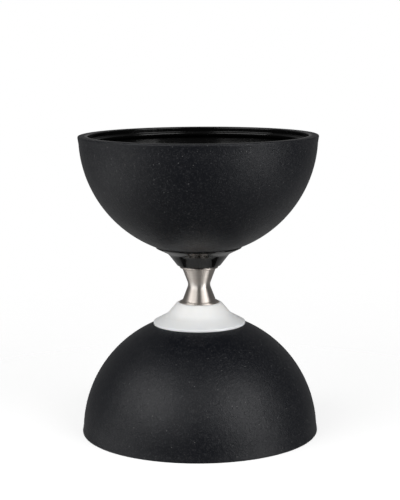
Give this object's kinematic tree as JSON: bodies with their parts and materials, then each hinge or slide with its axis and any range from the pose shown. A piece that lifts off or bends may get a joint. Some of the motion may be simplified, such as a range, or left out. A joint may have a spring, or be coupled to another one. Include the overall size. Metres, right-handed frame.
{
  "type": "diabolo",
  "caption": "Spinning juggling prop: rubber cups back to back on conical plastic hubs, with a waisted steel string spool running on ball bearings between them.",
  "frame": {"origin": "middle of the string spool, on the spin axis, which is the centre of the whole object's box", "axes": "+Z along the spin axis, towards the cup on the black hub; +X and +Y are square to it, with the through bolt's socket and the lock nut's flats lined up with them"},
  "size_m": [0.112, 0.112, 0.1408],
  "materials": {
    "cup_rubber": "matte",
    "black_hub_plastic": "gloss",
    "white_hub_plastic": "satin",
    "spool_steel": "satin",
    "bearing_steel": "polished",
    "cage_brass": "satin",
    "bush_aluminium": "satin",
    "zinc_plated_steel": "satin",
    "black_oxide_steel": "satin",
    "lock_nylon": "matte"
  },
  "bodies": {
    "cups": {"upper_cup": "cup_rubber", "upper_hub": "black_hub_plastic", "upper_hub_bush": "bush_aluminium", "upper_cup_washer": "zinc_plated_steel", "upper_plain_washer": "zinc_plated_steel", "upper_inner_ring": "bearing_steel", "lower_cup": "cup_rubber", "lower_hub": "white_hub_plastic", "lower_hub_bush": "bush_aluminium", "lower_cup_washer": "zinc_plated_steel", "lower_plain_washer": "zinc_plated_steel", "lower_inner_ring": "bearing_steel", "inner_spacer": "bush_aluminium", "through_bolt": "black_oxide_steel", "lock_nut": "zinc_plated_steel", "lock_nut_insert": "lock_nylon"},
    "spool": {"axle_spool": "spool_steel", "upper_outer_ring": "bearing_steel", "upper_shield_outer": "bearing_steel", "upper_shield_inner": "bearing_steel", "lower_outer_ring": "bearing_steel", "lower_shield_outer": "bearing_steel", "lower_shield_inner": "bearing_steel"},
    "upper_balls": {"upper_cage": "cage_brass", "upper_ball_1": "bearing_steel", "upper_ball_2": "bearing_steel", "upper_ball_3": "bearing_steel", "upper_ball_4": "bearing_steel", "upper_ball_5": "bearing_steel", "upper_ball_6": "bearing_steel", "upper_ball_7": "bearing_steel", "upper_ball_8": "bearing_steel"},
    "lower_balls": {"lower_cage": "cage_brass", "lower_ball_1": "bearing_steel", "lower_ball_2": "bearing_steel", "lower_ball_3": "bearing_steel", "lower_ball_4": "bearing_steel", "lower_ball_5": "bearing_steel", "lower_ball_6": "bearing_steel", "lower_ball_7": "bearing_steel", "lower_ball_8": "bearing_steel"}
  },
  "joints": [
    {"name": "spool_spin", "type": "hinge", "parent": "cups", "child": "spool", "pos_m": [0, 0, 0], "axis": [0, 0, 1], "continuous": true},
    {"name": "upper_cage_spin", "type": "hinge", "parent": "cups", "child": "upper_balls", "pos_m": [0, 0, 0.0067], "axis": [0, 0, 1], "continuous": true},
    {"name": "lower_cage_spin", "type": "hinge", "parent": "cups", "child": "lower_balls", "pos_m": [0, 0, -0.0067], "axis": [0, 0, 1], "continuous": true}
  ],
  "couplings": [
    {"joint": "upper_cage_spin", "follows": "spool_spin", "ratio": 0.59925},
    {"joint": "lower_cage_spin", "follows": "spool_spin", "ratio": 0.59925}
  ]
}
